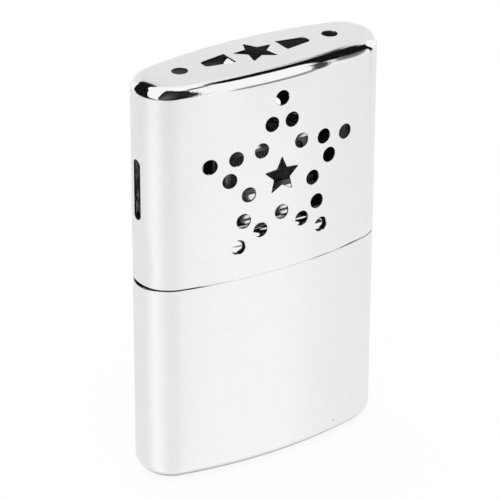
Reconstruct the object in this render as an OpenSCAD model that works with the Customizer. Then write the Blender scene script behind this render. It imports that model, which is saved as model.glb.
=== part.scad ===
// Catalytic hand warmer: a fuel tank packed with cotton, an oval filler neck, a catalyst
// burner that slips over the neck, and a perforated cap that slips over the tank's collar.
// +Z is up, the front is -Y, and the origin is the middle of the flat base.

/* [Body] */
// Width over the two rounded ends
body_w = 66; // [60:0.5:72]
// Depth over the bowed front and back
body_d = 23.4; // [22:0.1:26]
// Height from the base to the top of the cap
body_h = 105.5; // [103:0.5:115]
// Radius of the rounded ends
end_r = 8.8; // [8:0.1:9.8]

/* [Tank] */
// Height of the lower case, from the base to its rim
tank_h = 53.1; // [48:0.1:56]
// Sheet of the lower case
tank_wall = 0.5; // [0.4:0.05:0.8]
// Radius of the rounded edge round the base
base_r = 4; // [3:0.25:5]
// Height of the collar above the rim of the case
collar_h = 11.7; // [9:0.1:12.5]
// Sheet of the collar and its deck
collar_wall = 0.5; // [0.4:0.05:0.8]
// Radius of the collar's rounded shoulder
collar_r = 2; // [1:0.1:3]
// Depth of the collar's skirt below the rim of the case
skirt_depth = 8; // [4:0.5:16]
// Gap of the pressed fit between the skirt and the case
press_gap = 0.05; // [0.02:0.01:0.1]

/* [Filler neck] */
// Length of the neck outside
neck_l = 26; // [20:0.5:27]
// Width of the neck outside
neck_w = 8; // [6.5:0.1:8.6]
// Height of the neck above the deck
neck_h = 4.7; // [4:0.1:6]
// Sheet of the neck
neck_wall = 0.5; // [0.4:0.05:0.7]
// Width of the neck's flange, under the deck
neck_flange = 2; // [1:0.1:2.4]

/* [Cap] */
// Sheet of the cap
cap_wall = 0.5; // [0.4:0.05:0.7]
// Gap between the cap's mouth and the rim of the case
seam_gap = 0.3; // [0.2:0.05:0.5]
// Gap between the cap and the collar
cap_clear = 0.4; // [0.3:0.05:0.6]
// Radius of the rounded edge round the cap's top
top_r = 3; // [1.5:0.1:4]

/* [Star vents] */
// Height of the star's centre above the base
star_z = 77.9; // [76:0.1:82]
// Distance from the star's centre to its outer holes
star_r = 20; // [16:0.25:21.5]
// Distance from the star's centre to its inner holes
star_inner_r = 9.5; // [8:0.25:11]
// Diameter of the round holes
hole_d = 3.8; // [2.5:0.1:4.2]
// Distance from the centre to the points of the cut-out star
cut_star_r = 5; // [3.5:0.1:5.5]

/* [Top vents] */
// Distance from the centre to the points of the star in the top
top_star_r = 5.6; // [4:0.1:5.9]
// Distance from the middle to the near edge of each wedge
wedge_near = 7.2; // [7:0.1:8.5]
// Length of each wedge
wedge_l = 7.4; // [5:0.1:8]
// Width of each wedge at its near edge
wedge_near_w = 5.6; // [4:0.1:6.5]
// Width of each wedge at its far edge
wedge_far_w = 2.9; // [2:0.1:3.6]
// Radius of the wedge's two far corners
wedge_corner_r = 0.9; // [0.3:0.1:0.95]
// Distance from the middle to each round hole in the top
top_hole_x = 21; // [19:0.1:22.5]
// Diameter of the round holes in the top
top_hole_d = 3.9; // [2.5:0.1:4.2]

/* [Ends of the cap] */
// Length of the slot in each end
slot_l = 15.5; // [10:0.1:18]
// Width of the slot in each end
slot_w = 2.9; // [2:0.1:4]
// Depth of the grip dent in each end
dent_depth = 0.2; // [0.1:0.02:0.24]
// Width of the grip dent
dent_w = 9.8; // [8:0.1:11]
// Height from the middle of the dent to its top
dent_rise = 10.5; // [7:0.1:11.5]
// Height of the dent's middle above the cap's mouth
dent_up = 5.4; // [3:0.1:6]

/* [Burner] */
// Length of the burner's shells
burner_l = 28; // [27.6:0.1:32]
// Depth of the burner's shells, front to back
burner_w = 10.4; // [9.8:0.1:12]
// Corner radius of the shells
burner_corner = 3; // [1.5:0.1:4]
// Height of the shells
shell_h = 13.7; // [11:0.1:15]
// Sheet of the burner's pieces
burner_wall = 0.45; // [0.35:0.05:0.6]
// Gap between the burner's socket and the neck
socket_gap = 0.25; // [0.15:0.05:0.4]
// Gap between the socket and the deck it stands on
seat_gap = 0.3; // [0.2:0.05:0.5]
// Height of the socket's skirt
socket_h = 4.7; // [4:0.1:5.8]
// Height of the bright rims that hold the shells together
rim_h = 1.5; // [1:0.1:2]
// Gap between the rims and the shells
rim_gap = 0.05; // [0.02:0.01:0.1]
// Lap of each wire screen behind the edges of its window
window_lap = 0.7; // [0.3:0.05:1]
// Height of the window
window_h = 9.2; // [7:0.1:10.4]
// Corner radius of the window
window_corner = 1.2; // [0.5:0.1:2]
// Diameter of the vapour holes in the burner's floor
vapour_d = 1.4; // [1:0.1:1.8]
// Spacing of the vapour holes
vapour_pitch = 2.6; // [2.2:0.1:3.4]
// Width of the slots in the burner's lid
lid_slot_w = 1.4; // [0.8:0.1:1.8]
// Spacing of the slots in the lid
lid_slot_pitch = 3.6; // [2.8:0.1:5]

/* [Wire screens] */
// Thickness of the woven screens
screen_t = 0.35; // [0.25:0.05:0.5]
// Spacing of the screen's wires
wire_pitch = 1.5; // [1.2:0.1:2.4]
// Thickness of one wire
wire_d = 0.4; // [0.25:0.05:0.6]

/* [Filling] */
// Gap that the soft pieces keep from the metal
soft_gap = 0.3; // [0.2:0.05:0.6]
// Thickness of one fold of the cotton batting
fold_t = 6.2; // [5:0.1:6.6]
// Gap between two folds of the batting
fold_gap = 0.5; // [0.3:0.1:1]
// Height of the batting's top below the deck
batting_drop = 4.8; // [4:0.1:10]
// Thickness of the gauze over the cotton plug
gauze_t = 0.3; // [0.2:0.05:0.5]

/* [Hidden] */

// The plan of the body is four arcs: a bowed front and back, and two round ends. The bow's
// radius is the one near bow_r for which it and its centre are both short decimals, so that
// the arcs meet without a step.
end_x = body_w / 2 - end_r;
bow_r = (pow(end_x, 2) + pow(body_d / 2, 2) - pow(end_r, 2)) / (body_d - 2 * end_r);
function bow_centre(r) = sqrt(pow(r - end_r, 2) - pow(end_x, 2));
function short(v) = round(10000 * v) / 10000;
function step_at(r) = abs(bow_centre(r) - short(bow_centre(r)));
near_bow = [for (i = [-200 : 200]) round(1000 * bow_r + i) / 1000];
least_step = min([for (r = near_bow) step_at(r)]);
face_r = [for (r = near_bow) if (step_at(r) == least_step) r][0];
face_y = short(bow_centre(face_r));
half_angle = atan2(end_x, face_y);

// Heights
deck_z = tank_h + collar_h;
mouth_z = tank_h + seam_gap;
socket_z = deck_z + seat_gap;
ledge_z = socket_z + socket_h;
floor_z = ledge_z + burner_wall;
shell_z = floor_z + burner_wall;
lid_z = shell_z + shell_h;
neck_top = deck_z + neck_h;

// How far each outline lies inside the outline of the body
collar_inset = cap_wall + cap_clear;
skirt_inset = tank_wall + press_gap;

joggle_h = 0.6;        // height of the step between the skirt and the collar
joggle_drop = 0.9;     // depth of the step's foot below the rim of the case
cut = 1;               // how far a cutter runs past what it cuts
fine = 360;            // facets of a full turn on the body's arcs
small = 32;            // facets of a full turn on holes and corners

star_tip_holes = 5;
inner_ratio = 0.47;    // inner radius of a cut-out star over its outer radius
neck_flat = 0.6;       // flat part across each end of the neck
neck_corner = (neck_w - neck_flat) / 2;
screen_l = burner_l - 2 * burner_corner - 0.2;
screen_h = window_h + 2 * window_lap;
clip_flange = 1.3;     // how far the flanges at the shells' ends stand out
clip_t = 0.35;         // sheet of the end clips
clip_grip = 1;         // how far the clips grip the flanges
lid_rim_less = 0.3;    // how much lower the lid's rim is than the socket's

steel = [0.86, 0.87, 0.88];
dull_steel = [0.62, 0.63, 0.64];
wire_grey = [0.5, 0.5, 0.51];
cotton_white = [0.95, 0.94, 0.9];
fibre_grey = [0.33, 0.33, 0.35];

// Points round the body's plan at a distance inside it, evenly spaced on each arc
function arc_points(centre, r, from, to, steps) =
    [for (i = [0 : steps - 1]) let (a = from + (to - from) * i / steps)
        centre + r * [cos(a), sin(a)]];
function plan_points(inset, steps = 12) = concat(
    arc_points([0, face_y], face_r - inset, 270 - half_angle, 270 + half_angle, steps),
    arc_points([end_x, 0], end_r - inset, half_angle - 90, 90 - half_angle, steps),
    arc_points([0, -face_y], face_r - inset, 90 - half_angle, 90 + half_angle, steps),
    arc_points([-end_x, 0], end_r - inset, 90 + half_angle, 270 - half_angle, steps));

// A solid with the body's plan. The filled profile is turned about the axes of the four arcs:
// x is 0 on the body's outer face and negative inside it, and y is the height. The front and
// back meet the ends where their arcs touch, and the ends run on inside them as full turns.
module body_of_profile() {
    seam = [end_x + body_d * sin(half_angle), body_d * cos(half_angle)];
    for (side = [0, 180])
        rotate([0, 0, side])
            translate([-end_x, 0, 0])
                rotate_extrude($fn = fine)
                    intersection() {
                        translate([end_r, 0]) children();
                        translate([0, -cut]) square(2 * body_h);
                    }
    intersection() {
        translate([0, face_y, 0])
            rotate_extrude($fn = fine) translate([face_r, 0]) children();
        rotate([0, 0, 180])
            translate([0, face_y, 0])
                rotate_extrude($fn = fine) translate([face_r, 0]) children();
        translate([0, 0, -cut])
            linear_extrude(body_h + 2 * cut)
                polygon([[end_x, 0], seam, [-seam[0], seam[1]],
                         [-end_x, 0], -seam, [seam[0], -seam[1]]]);
    }
}

// Filled profile of a drawn cup, standing on its floor at the height 0
module cup_profile(inset, r, top) {
    translate([-inset - body_d, 0]) square([body_d - r, top]);
    translate([-inset - body_d, r]) square([body_d, top - r]);
    translate([-inset - r, r])
        intersection() {
            circle(r, $fn = 2 * small);
            translate([0, -r]) square(r);
        }
}

// A drawn cup, open at the top: its outside less its inside
module drawn_cup(inset, wall, r, top) {
    difference() {
        body_of_profile() cup_profile(inset, r, top);
        translate([0, 0, wall])
            body_of_profile() cup_profile(inset + wall, r - wall, top - wall + cut);
    }
}

module rounded_plan(l, w, r) {
    square([l - 2 * r, w], center = true);
    square([l, w - 2 * r], center = true);
    for (x = [-1, 1], y = [-1, 1])
        translate([x * (l / 2 - r), y * (w / 2 - r)]) circle(r, $fn = small);
}

module ring_plan(l, w, r, wall) {
    difference() {
        rounded_plan(l, w, r);
        rounded_plan(l - 2 * wall, w - 2 * wall, r - wall);
    }
}

module slot_plan(l, w) {
    square([l - w, w], center = true);
    for (x = [-1, 1])
        translate([x * (l - w) / 2, 0]) circle(d = w, $fn = small);
}

module star_plan(r) {
    polygon([for (i = [0 : 2 * star_tip_holes - 1])
        (i % 2 == 0 ? r : r * inner_ratio) * [sin(i * 36), cos(i * 36)]]);
}

// The lower case, drawn in one piece with a rounded base
module tank_case() {
    color(steel) drawn_cup(0, tank_wall, base_r, tank_h);
}

// Filled profile of the collar at a depth inside its outer face: a skirt, a small step that
// lets the cap's sheet lie flush, a wall and a rounded shoulder
module collar_profile(depth, below) {
    step_z = tank_h - joggle_drop;
    upper = -collar_inset - depth;
    lower = -skirt_inset - depth;
    translate([lower - body_d, tank_h - skirt_depth - below])
        square([body_d, skirt_depth - joggle_drop + below]);
    polygon([[lower - body_d, step_z], [lower, step_z], [upper, step_z + joggle_h],
             [lower - body_d, step_z + joggle_h]]);
    translate([0, deck_z - depth]) mirror([0, 1])
        cup_profile(collar_inset + depth, collar_r - depth, deck_z - depth - step_z - joggle_h);
}

// The collar that the cap slips over, with a flat deck and the neck's hole
module tank_collar() {
    color(steel)
        difference() {
            body_of_profile() collar_profile(0, 0);
            body_of_profile() collar_profile(collar_wall, cut);
            translate([0, 0, deck_z - collar_wall - cut])
                linear_extrude(collar_wall + 2 * cut)
                    rounded_plan(neck_l + 2 * press_gap, neck_w + 2 * press_gap,
                                 neck_corner + press_gap);
        }
}

// The neck, an oval tube with a flange that bears on the deck from below
module filler_neck() {
    flange_z = deck_z - collar_wall - neck_wall;
    color(steel) {
        translate([0, 0, flange_z + neck_wall])
            linear_extrude(neck_top - flange_z - neck_wall)
                ring_plan(neck_l, neck_w, neck_corner, neck_wall);
        translate([0, 0, flange_z])
            linear_extrude(neck_wall)
                ring_plan(neck_l + 2 * neck_flange, neck_w + 2 * neck_flange,
                          neck_corner + neck_flange, neck_flange + neck_wall);
    }
}

// The folds of the batting seen from above: three leaves joined by turns at their ends
module fold_plan() {
    pitch = fold_t + fold_gap;
    leaf = 2 * (end_x - fold_t / 2);
    for (i = [-1 : 1])
        translate([0, i * pitch]) square([leaf, fold_t], center = true);
    for (i = [-1, 1])
        translate([i * leaf / 2, i * pitch / 2])
            intersection() {
                difference() {
                    circle(fold_t + fold_gap / 2, $fn = 2 * small);
                    circle(fold_gap / 2, $fn = small);
                }
                translate([i > 0 ? 0 : -body_d, -body_d]) square([body_d, 2 * body_d]);
            }
}

// The cotton batting, one strip folded to stand in the tank
module cotton_batting() {
    bottom = tank_wall + soft_gap;
    inset = tank_wall + press_gap + collar_wall + soft_gap;
    color(cotton_white)
        translate([0, 0, bottom])
            intersection() {
                linear_extrude(deck_z - batting_drop - bottom) fold_plan();
                linear_extrude(body_h) polygon(plan_points(inset + base_r / 2));
            }
}

// The plug of cotton that stands in the neck and feeds the vapour
module cotton_plug() {
    bottom = deck_z - batting_drop + soft_gap;
    color(cotton_white)
        translate([0, 0, bottom])
            linear_extrude(deck_z - bottom)
                rounded_plan(neck_l - 2 * neck_wall - 2 * soft_gap,
                             neck_w - 2 * neck_wall - 2 * soft_gap,
                             neck_corner - neck_wall - soft_gap);
}

// The gauze that keeps the plug's fibres down
module plug_gauze() {
    color(cotton_white)
        translate([0, 0, deck_z])
            linear_extrude(gauze_t)
                rounded_plan(neck_l - 2 * neck_wall - 2 * soft_gap,
                             neck_w - 2 * neck_wall - 2 * soft_gap,
                             neck_corner - neck_wall - soft_gap);
}

// The burner's socket: a skirt over the neck, a ledge and a rim that holds the shells
module burner_socket() {
    skirt = 2 * (socket_gap + burner_wall);
    rim = 2 * (rim_gap + burner_wall);
    color(steel) {
        translate([0, 0, socket_z])
            linear_extrude(socket_h)
                ring_plan(neck_l + skirt, neck_w + skirt, neck_corner + skirt / 2, burner_wall);
        translate([0, 0, ledge_z])
            linear_extrude(burner_wall)
                difference() {
                    rounded_plan(burner_l + rim, burner_w + rim, burner_corner + rim / 2);
                    rounded_plan(neck_l + 2 * socket_gap, neck_w + 2 * socket_gap,
                                 neck_corner + socket_gap);
                }
        translate([0, 0, floor_z])
            linear_extrude(rim_h)
                ring_plan(burner_l + rim, burner_w + rim, burner_corner + rim / 2, burner_wall);
    }
}

// The floor under the catalyst, with rows of holes for the vapour
module burner_floor() {
    across = floor((neck_l - 2 * neck_wall) / 2 / vapour_pitch - 0.5);
    color(dull_steel)
        translate([0, 0, floor_z])
            difference() {
                linear_extrude(burner_wall) rounded_plan(burner_l, burner_w, burner_corner);
                for (x = [-across : across], y = [-1 : 1])
                    translate([x * vapour_pitch, y * vapour_pitch, -cut])
                        cylinder(d = vapour_d, h = burner_wall + 2 * cut, $fn = 16);
            }
}

// One pressed half of the burner: a bowed sheet with a window, and a flange down each end
module half_shell() {
    color(dull_steel)
        translate([0, 0, shell_z])
            difference() {
                union() {
                    linear_extrude(shell_h)
                        intersection() {
                            ring_plan(burner_l, burner_w, burner_corner, burner_wall);
                            translate([-burner_l, -burner_w]) square([2 * burner_l, burner_w]);
                        }
                    for (side = [0, 1])
                        mirror([side, 0, 0])
                            translate([burner_l / 2 - burner_wall, -burner_wall, rim_h])
                                cube([clip_flange + burner_wall, burner_wall,
                                      shell_h - 2 * rim_h]);
                }
                translate([0, 0, shell_h / 2])
                    rotate([90, 0, 0])
                        linear_extrude(burner_w)
                            rounded_plan(screen_l - 2 * window_lap, window_h, window_corner);
            }
}

module burner_front_shell() {
    half_shell();
}

module burner_back_shell() {
    rotate([0, 0, 180]) half_shell();
}

// The burner's lid, with a rim over the shells and slots that let the heat out
module burner_lid() {
    rim = 2 * (rim_gap + burner_wall);
    lid_rim_h = rim_h - lid_rim_less;
    slots = floor((burner_l / 2 - burner_corner) / lid_slot_pitch);
    color(steel) {
        translate([0, 0, lid_z])
            linear_extrude(burner_wall)
                difference() {
                    rounded_plan(burner_l + rim, burner_w + rim, burner_corner + rim / 2);
                    for (i = [-slots : slots])
                        translate([i * lid_slot_pitch, 0]) rotate(90)
                            slot_plan(burner_w - 2 * burner_corner + lid_slot_w, lid_slot_w);
                }
        translate([0, 0, lid_z - lid_rim_h])
            linear_extrude(lid_rim_h)
                ring_plan(burner_l + rim, burner_w + rim, burner_corner + rim / 2, burner_wall);
    }
}

// Two folded strips, one at each end, that clip the flanges of the shells together
module burner_end_clips() {
    color(steel)
        for (side = [0, 1])
            mirror([side, 0, 0])
                translate([burner_l / 2 + clip_flange - clip_grip, 0, shell_z + rim_h + soft_gap])
                    linear_extrude(shell_h - 2 * rim_h - 2 * soft_gap)
                        difference() {
                            translate([0, -burner_wall - clip_t])
                                square([clip_grip + clip_t, 2 * (burner_wall + clip_t)]);
                            translate([-cut, -burner_wall])
                                square([clip_grip + cut, 2 * burner_wall]);
                        }
}

// A woven screen behind a window: square gaps between crossing wires
module wire_screen() {
    gap = wire_pitch - wire_d;
    columns = floor((screen_l - wire_d) / wire_pitch);
    rows = floor((screen_h - wire_d) / wire_pitch);
    color(wire_grey)
        translate([0, -burner_w / 2 + burner_wall + screen_t, shell_z + shell_h / 2])
            rotate([90, 0, 0])
                linear_extrude(screen_t)
                    difference() {
                        square([screen_l, screen_h], center = true);
                        for (i = [0 : columns - 1], j = [0 : rows - 1])
                            translate([(i - (columns - 1) / 2) * wire_pitch,
                                       (j - (rows - 1) / 2) * wire_pitch])
                                square(gap, center = true);
                    }
}

module front_screen() {
    wire_screen();
}

module back_screen() {
    rotate([0, 0, 180]) wire_screen();
}

// The wad of coated glass fibre in which the vapour reacts
module catalyst_wad() {
    wad_l = burner_l - 2 * burner_wall - 2 * soft_gap;
    wad_w = burner_w - 2 * burner_wall - 2 * screen_t - 2 * soft_gap;
    color(fibre_grey)
        translate([0, 0, shell_z + soft_gap])
            linear_extrude(shell_h - 2 * soft_gap)
                rounded_plan(wad_l, wad_w, burner_corner - burner_wall);
}

// The round holes on the points, the inner corners and the middles of the edges of a star
module star_holes(r, inner_r, d, depth) {
    function corner(i) = (i % 2 == 0 ? r : inner_r) * [sin(i * 36), cos(i * 36)];
    for (i = [0 : 2 * star_tip_holes - 1])
        for (p = [corner(i), (corner(i) + corner(i + 1)) / 2])
            translate([p[0], p[1], -depth / 2]) cylinder(d = d, h = depth, $fn = small);
}

// One wedge-shaped vent of the top, wide end inwards, with its two far corners rounded
module wedge_plan() {
    far = wedge_near + wedge_l;
    r = wedge_corner_r;
    polygon([[wedge_near, -wedge_near_w / 2], [far - r, -wedge_far_w / 2],
             [far - r, wedge_far_w / 2], [wedge_near, wedge_near_w / 2]]);
    translate([far - r, -wedge_far_w / 2 + r]) square([r, wedge_far_w - 2 * r]);
    for (y = [-1, 1])
        translate([far - r, y * (wedge_far_w / 2 - r)]) circle(r, $fn = small);
}

// A ring about the axis of the cap's end, as wide and high as the grip dent
module dent_ring(inner, outer) {
    half_w = dent_w / 2;
    intersection() {
        translate([end_x, 0, mouth_z])
            rotate([0, 0, -60])
                rotate_extrude(angle = 120, $fn = fine)
                    translate([inner, 0]) square([outer - inner, dent_up + dent_rise + cut]);
        translate([end_x, 0, mouth_z + dent_up])
            rotate([90, 0, 90])
                linear_extrude(end_r + 2 * cut)
                    polygon([for (a = [0 : 10 : 350]) [half_w * cos(a), dent_rise * sin(a)]]);
    }
}

// The cap: a drawn shell with star vents front and back, vents in the top, and a slot and a
// shallow grip dent in each end
module cap_shell() {
    color(steel)
        difference() {
            union() {
                translate([0, 0, body_h]) mirror([0, 0, 1])
                    drawn_cup(0, cap_wall, top_r, body_h - mouth_z);
                for (side = [0, 180])
                    rotate([0, 0, side])
                        dent_ring(end_r - dent_depth - cap_wall, end_r - dent_depth);
            }
            for (side = [0, 180])
                rotate([0, 0, side]) dent_ring(end_r - dent_depth, end_r + cut);
            translate([0, 0, star_z])
                rotate([90, 0, 0]) {
                    star_holes(star_r, star_inner_r, hole_d, body_d + 2 * cut);
                    translate([0, 0, -body_d / 2 - cut])
                        linear_extrude(body_d + 2 * cut) star_plan(cut_star_r);
                }
            translate([0, 0, star_z])
                rotate([90, 90, 90])
                    translate([0, 0, -body_w / 2 - cut])
                        linear_extrude(body_w + 2 * cut) slot_plan(slot_l, slot_w);
            translate([0, 0, body_h - cap_wall - cut])
                linear_extrude(cap_wall + 2 * cut) {
                    star_plan(top_star_r);
                    for (side = [0, 180])
                        rotate(side) wedge_plan();
                }
            for (x = [-1, 1])
                translate([x * top_hole_x, 0, body_h - cap_wall - cut])
                    cylinder(d = top_hole_d, h = cap_wall + 2 * cut, $fn = small);
        }
}

tank_case();
tank_collar();
filler_neck();
cotton_batting();
cotton_plug();
plug_gauze();
burner_socket();
burner_floor();
burner_front_shell();
burner_back_shell();
burner_lid();
burner_end_clips();
front_screen();
back_screen();
catalyst_wad();
cap_shell();
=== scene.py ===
"""Catalytic hand warmer, dressed: a drawn and plated tank with its pierced cap, and inside
the cap the collar, the neck and the burner with its woven screens. Every piece is a surface
worked out with numpy in millimetres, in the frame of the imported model: +Z up, front at -Y.
Pieces of sheet metal start as one outer skin. The skin gets its thickness inwards along its
normals, and every cut edge gets a small rounded lip."""
import math

import bpy
import numpy as np
from mathutils import Matrix, Vector
from mathutils.geometry import delaunay_2d_cdt


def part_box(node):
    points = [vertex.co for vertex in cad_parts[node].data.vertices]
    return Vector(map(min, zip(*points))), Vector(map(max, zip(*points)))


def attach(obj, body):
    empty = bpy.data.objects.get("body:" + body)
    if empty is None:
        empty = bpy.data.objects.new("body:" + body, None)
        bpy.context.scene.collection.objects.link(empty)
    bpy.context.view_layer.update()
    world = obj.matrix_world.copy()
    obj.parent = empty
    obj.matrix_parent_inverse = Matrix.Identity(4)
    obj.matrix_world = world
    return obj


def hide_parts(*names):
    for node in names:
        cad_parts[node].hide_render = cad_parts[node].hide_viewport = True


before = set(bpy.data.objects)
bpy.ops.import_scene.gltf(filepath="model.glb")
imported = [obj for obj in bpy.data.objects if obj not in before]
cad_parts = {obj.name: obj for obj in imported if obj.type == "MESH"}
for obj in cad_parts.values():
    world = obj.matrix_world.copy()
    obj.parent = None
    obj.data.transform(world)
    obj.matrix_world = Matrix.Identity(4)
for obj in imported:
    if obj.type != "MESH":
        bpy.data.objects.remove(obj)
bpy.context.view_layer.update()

# ------------------------------------------------------------------ sizes, in millimetres
MM = 0.001
HALF_W, HALF_D, BODY_H = np.array(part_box("cap_shell")[1]) / MM
END_R = 8.8                      # radius of the rounded ends
RIM_Z, MOUTH_Z, DECK_Z = 53.1, 53.4, 64.8
SHEET = 0.5                      # sheet of the tank, the collar, the neck and the cap
BURNER_SHEET = 0.45
END_X = HALF_W - END_R
BOW_R = (END_X ** 2 + HALF_D ** 2 - END_R ** 2) / (2 * (HALF_D - END_R))
BOW_Y = BOW_R - HALF_D           # how far the bow's centre lies behind the middle
BOW_TURN = math.atan2(END_X, BOW_Y)

STAR_Z, STAR_R, STAR_INNER_R, HOLE_R = 77.9, 20.0, 9.5, 1.9
MIDDLE_STAR_R, TOP_STAR_R, TOP_HOLE_R, TOP_HOLE_X = 5.0, 5.6, 1.95, 21
END_SLOT = 2.9, 15.5
GRIP_Z, GRIP_W, GRIP_H, GRIP_DEEP = 58.8, 4.9, 10.5, 0.3
TOP_R, TOP_TURN, CROWN = 3.0, math.radians(84.26), 0.4515
BASE_IN, BASE_UP = 6, 5          # the base edge, a quarter of an ellipse
SKIRT_Z, SKIRT_IN, SHOULDER_R = 45.1, 0.55, 4.2
NECK_Z = 69.5
SOCKET_Z, LEDGE_Z, SHELL_Z, SOCKET_TOP, LID_RIM_Z, LID_Z = 65.1, 69.8, 70.7, 71.75, 83.2, 84.4
SHELL_H, SHELL_CORNER = 13.7, 3.0
PLUG = 24.1, 6.1, 2.7            # the neck's mouth: length, width and corner radius


# ------------------------------------------------------------------ outlines
def unit(v):
    """Each vector over its own length."""
    return v / np.maximum(np.linalg.norm(v, axis=-1, keepdims=True), 1e-12)


def rounded(corners, radius, steps=6, closed=True):
    """Outline of a counter-clockwise polygon with rounded corners, and its outward normals.
    At a corner the outline turns from one side's normal to the next side's on an arc that
    touches both sides; an arc that turns right is a hollow corner. An open outline also
    keeps its first and last point."""
    corners = np.asarray(corners, float)
    radius = np.broadcast_to(np.asarray(radius, float), (len(corners),))
    if closed:
        before, here, after, r = np.roll(corners, 1, 0), corners, np.roll(corners, -1, 0), radius
    else:
        before, here, after, r = corners[:-2], corners[1:-1], corners[2:], radius[1:-1]
    a, b = unit(here - before), unit(after - here)
    turn = np.arctan2(a[:, 0] * b[:, 1] - a[:, 1] * b[:, 0], (a * b).sum(1))
    side = np.sign(turn)[:, None]
    right = np.stack([a[:, 1], -a[:, 0]], 1)
    start = here - a * (r * np.tan(np.abs(turn) / 2))[:, None]
    centre = start - side * r[:, None] * right
    angle = np.arctan2(right[:, 1], right[:, 0])[:, None] + turn[:, None] * np.linspace(0, 1, steps + 1)
    n = np.stack([np.cos(angle), np.sin(angle)], -1)
    p = centre[:, None] + (side * r[:, None])[:, None] * n
    p, n = p.reshape(-1, 2), n.reshape(-1, 2)
    if not closed:
        p, n = np.vstack([corners[:1], p, corners[-1:]]), np.vstack([n[:1], n, n[-1:]])
    return p, n


def box_outline(l, w, r, steps=6):
    """Rounded rectangle, l along the first axis and w along the second."""
    x, y = l / 2, w / 2
    return rounded([(-x, -y), (x, -y), (x, y), (-x, y)], r, steps)


def slot_outline(l, w, steps=9):
    """A slot with round ends, or a round hole where l and w are the same."""
    return box_outline(l, w, min(l, w) / 2 - 1e-4, steps)


def star_outline(r):
    """Five-pointed star, one tip up, with inner corners at 0.47 of r and lightly rounded."""
    i = np.arange(10)
    reach = np.where(i % 2 == 0, r, 0.47 * r)
    angle = math.pi / 2 + i * math.pi / 5
    return rounded(np.stack([reach * np.cos(angle), reach * np.sin(angle)], 1), 0.14, 3)


def divided(outline, most):
    """An outline whose sides are divided evenly, no step longer than most."""
    p, n = outline
    run, turn = np.roll(p, -1, 0) - p, np.roll(n, -1, 0) - n
    parts = np.maximum(np.ceil(np.hypot(*run.T) / most), 1).astype(int)
    k = np.repeat(np.arange(len(p)), parts)
    t = ((np.arange(len(k)) - np.repeat(np.cumsum(parts) - parts, parts)) / parts[k])[:, None]
    return p[k] + t * run[k], unit(n[k] + t * turn[k])


def moved(outline, x, y):
    """An outline carried to another place."""
    return outline[0] + (x, y), outline[1]


def oval_plan(end_steps=240, bow_steps=400):
    """The body's plan: right end, back, left end, front, each an arc about its own centre.
    Point = centre + radius times the normal, and the normal turns once round."""
    edge = np.array([BOW_TURN - math.pi / 2, math.pi / 2 - BOW_TURN])
    turns = [edge, (edge[1], math.pi - edge[1]), edge + math.pi, (math.pi + edge[1], 2 * math.pi - edge[1])]
    centres, radii = [(END_X, 0), (0, -BOW_Y), (-END_X, 0), (0, BOW_Y)], [END_R, BOW_R] * 2
    p, n = [], []
    for (a, b), centre, r, steps in zip(turns, centres, radii, [end_steps, bow_steps] * 2):
        angle = np.linspace(a, b, steps, endpoint=False)
        n.append(np.stack([np.cos(angle), np.sin(angle)], 1))
        p.append(np.array(centre) + r * n[-1])
    return np.vstack(p), np.vstack(n)


def ruler(outline, closed=True):
    """Turns an outline into a function of the distance s along it, which gives the point at
    s, less inset times the normal, and the normal. Also returns the whole length."""
    p, n = outline
    if closed:
        p, n = np.vstack([p, p[:1]]), np.vstack([n, n[:1]])
    s = np.append(0, np.cumsum(np.hypot(*np.diff(p, axis=0).T)))

    def at(d, inset=0.0):
        d = np.mod(d, s[-1]) if closed else d
        q = np.stack([np.interp(d, s, p[:, 0]), np.interp(d, s, p[:, 1])], -1)
        m = unit(np.stack([np.interp(d, s, n[:, 0]), np.interp(d, s, n[:, 1])], -1))
        return q - np.asarray(inset)[..., None] * m, m
    return at, s[-1]


# ------------------------------------------------------------------ skins
def inside(points, polygon):
    """True where a point lies in a polygon: a ray from it crosses the sides an odd number of times."""
    a, b = polygon, np.roll(polygon, -1, 0)
    x, y = points[:, 0, None], points[:, 1, None]
    over = (a[:, 1] > y) != (b[:, 1] > y)
    rise = np.where(b[:, 1] == a[:, 1], 1e-12, b[:, 1] - a[:, 1])
    return (over & (x < (b[:, 0] - a[:, 0]) * (y - a[:, 1]) / rise + a[:, 0])).sum(1) % 2 == 1


def in_sheet(points, edge, holes):
    """True where a point lies within the edge and in none of the holes."""
    keep = inside(points, edge)
    for hole in holes:
        keep &= ~inside(points, hole)
    return keep


def fill(edge, holes, step):
    """Triangles between an outline and its holes. A grid of points, one step apart, is laid
    over the outline and kept where it is in the sheet and clear of every side; a constrained
    Delaunay triangulation joins all, and triangles outside the sheet are dropped."""
    loops = [edge, *holes]
    rim, run = np.vstack(loops), np.vstack([np.roll(loop, -1, 0) - loop for loop in loops])
    lo, hi = edge.min(0), edge.max(0)
    counts = np.maximum(np.ceil((hi - lo) / step).astype(int), 1)
    axes = [np.linspace(l, h, c + 1) for l, h, c in zip(lo, hi, counts)]
    grid = np.stack(np.meshgrid(*axes), -1).reshape(-1, 2)
    grid = grid[in_sheet(grid, edge, holes)]
    x, y = grid[:, :1] - rim[:, 0], grid[:, 1:] - rim[:, 1]
    t = np.clip((x * run[:, 0] + y * run[:, 1]) / (run ** 2).sum(1), 0, 1)
    gap = np.hypot(x - t * run[:, 0], y - t * run[:, 1]).min(1)
    points = np.vstack([rim, grid[gap > 0.45 * min(step)]])
    parts = np.split(np.arange(len(rim)), np.cumsum([len(loop) for loop in loops])[:-1])
    sides = np.vstack([np.stack([i, np.roll(i, -1)], 1) for i in parts])
    out = delaunay_2d_cdt([Vector(q) for q in points], sides.tolist(), [], 0, 1e-7)
    triangles = np.array([ids[0] for ids in out[3]])[np.array(out[2])]
    return points, triangles[in_sheet(points[triangles].mean(1), edge, holes)]


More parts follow.
